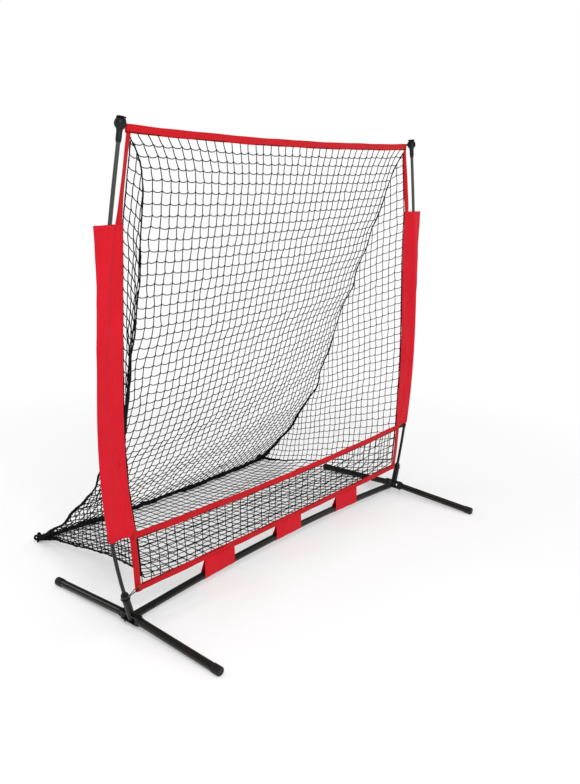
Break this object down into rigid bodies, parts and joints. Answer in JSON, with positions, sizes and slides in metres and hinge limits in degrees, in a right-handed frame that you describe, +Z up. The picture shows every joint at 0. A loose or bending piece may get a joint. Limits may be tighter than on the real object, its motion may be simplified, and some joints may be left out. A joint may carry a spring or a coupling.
{
  "type": "pitching target net",
  "caption": "Free-standing bow-frame catching net with bent side poles, a drop-back netting bag with a front pocket, and folding feet.",
  "frame": {"origin": "on the ground, under the middle of the overall footprint", "axes": "+X to the right seen from the pitcher, -Y towards the pitcher, +Z up"},
  "size_m": [1.7198, 1.1385, 1.5353],
  "materials": {
    "black_steel": "satin black powder coat on round steel tube",
    "glassfibre": "smooth charcoal glass-fibre rod",
    "zinc_steel": "dull zinc plate",
    "black_plastic": "fine-grained black moulding",
    "red_fabric": "red woven polyester with a soft sheen and sewn edges",
    "brass_eyelet": "antique brass, rolled",
    "black_webbing": "black braided elastic and woven webbing",
    "black_netting": "black knotted polyethylene twine, square hung"
  },
  "bodies": {
    "frame": {"crossbar_left": "black_steel", "crossbar_right": "black_steel", "crossbar_joiner": "black_steel", "hub_left": "black_steel", "hub_right": "black_steel", "socket_liners": "black_plastic", "pivot_bolts": "black_steel", "pivot_washers": "zinc_steel", "pivot_nuts": "zinc_steel", "button_springs": "zinc_steel", "pole_lower_left": "black_steel", "pole_lower_right": "black_steel", "pole_upper_left": "glassfibre", "pole_upper_right": "glassfibre", "pole_ferrules": "zinc_steel", "pole_knob_left": "black_plastic", "pole_knob_right": "black_plastic", "sleeve_left": "red_fabric", "sleeve_right": "red_fabric", "top_band": "red_fabric", "pocket_lip": "red_fabric", "bottom_band": "red_fabric", "side_band_left": "red_fabric", "side_band_right": "red_fabric", "tab_left": "red_fabric", "tab_centre": "red_fabric", "tab_right": "red_fabric", "corner_eyelets": "brass_eyelet", "lip_strap_left": "black_webbing", "lip_strap_right": "black_webbing", "top_loop_left": "black_webbing", "top_loop_right": "black_webbing", "bottom_cord_left": "black_webbing", "bottom_cord_right": "black_webbing", "net_back": "black_netting", "net_left": "black_netting", "net_right": "black_netting", "net_floor": "black_netting", "net_front": "black_netting", "side_seam_left": "black_netting", "side_seam_right": "black_netting", "floor_seam_left": "black_netting", "floor_seam_right": "black_netting", "rear_seam": "black_netting"},
    "left_front_foot": {"knuckle_left_front": "black_plastic", "foot_left_front": "black_steel", "foot_cap_left_front": "black_plastic"},
    "left_rear_foot": {"knuckle_left_rear": "black_plastic", "foot_left_rear": "black_steel", "foot_cap_left_rear": "black_plastic"},
    "right_front_foot": {"knuckle_right_front": "black_plastic", "foot_right_front": "black_steel", "foot_cap_right_front": "black_plastic"},
    "right_rear_foot": {"knuckle_right_rear": "black_plastic", "foot_right_rear": "black_steel", "foot_cap_right_rear": "black_plastic"},
    "left_button": {"snap_button_left": "zinc_steel"},
    "right_button": {"snap_button_right": "zinc_steel"}
  },
  "joints": [
    {"name": "left_front_fold", "type": "hinge", "parent": "frame", "child": "left_front_foot", "pos_m": [-0.762, -0.203, 0.0315], "axis": [0, 0, 1], "range_deg": [0, 90]},
    {"name": "left_rear_fold", "type": "hinge", "parent": "frame", "child": "left_rear_foot", "pos_m": [-0.762, -0.137, 0.0315], "axis": [0, 0, -1], "range_deg": [0, 90]},
    {"name": "right_front_fold", "type": "hinge", "parent": "frame", "child": "right_front_foot", "pos_m": [0.762, -0.203, 0.0315], "axis": [0, 0, -1], "range_deg": [0, 90]},
    {"name": "right_rear_fold", "type": "hinge", "parent": "frame", "child": "right_rear_foot", "pos_m": [0.762, -0.137, 0.0315], "axis": [0, 0, 1], "range_deg": [0, 90]},
    {"name": "left_button_press", "type": "slide", "parent": "frame", "child": "left_button", "axis": [0, 1, 0], "range_m": [0, 0.0057]},
    {"name": "right_button_press", "type": "slide", "parent": "frame", "child": "right_button", "axis": [0, 1, 0], "range_m": [0, 0.0057]}
  ]
}
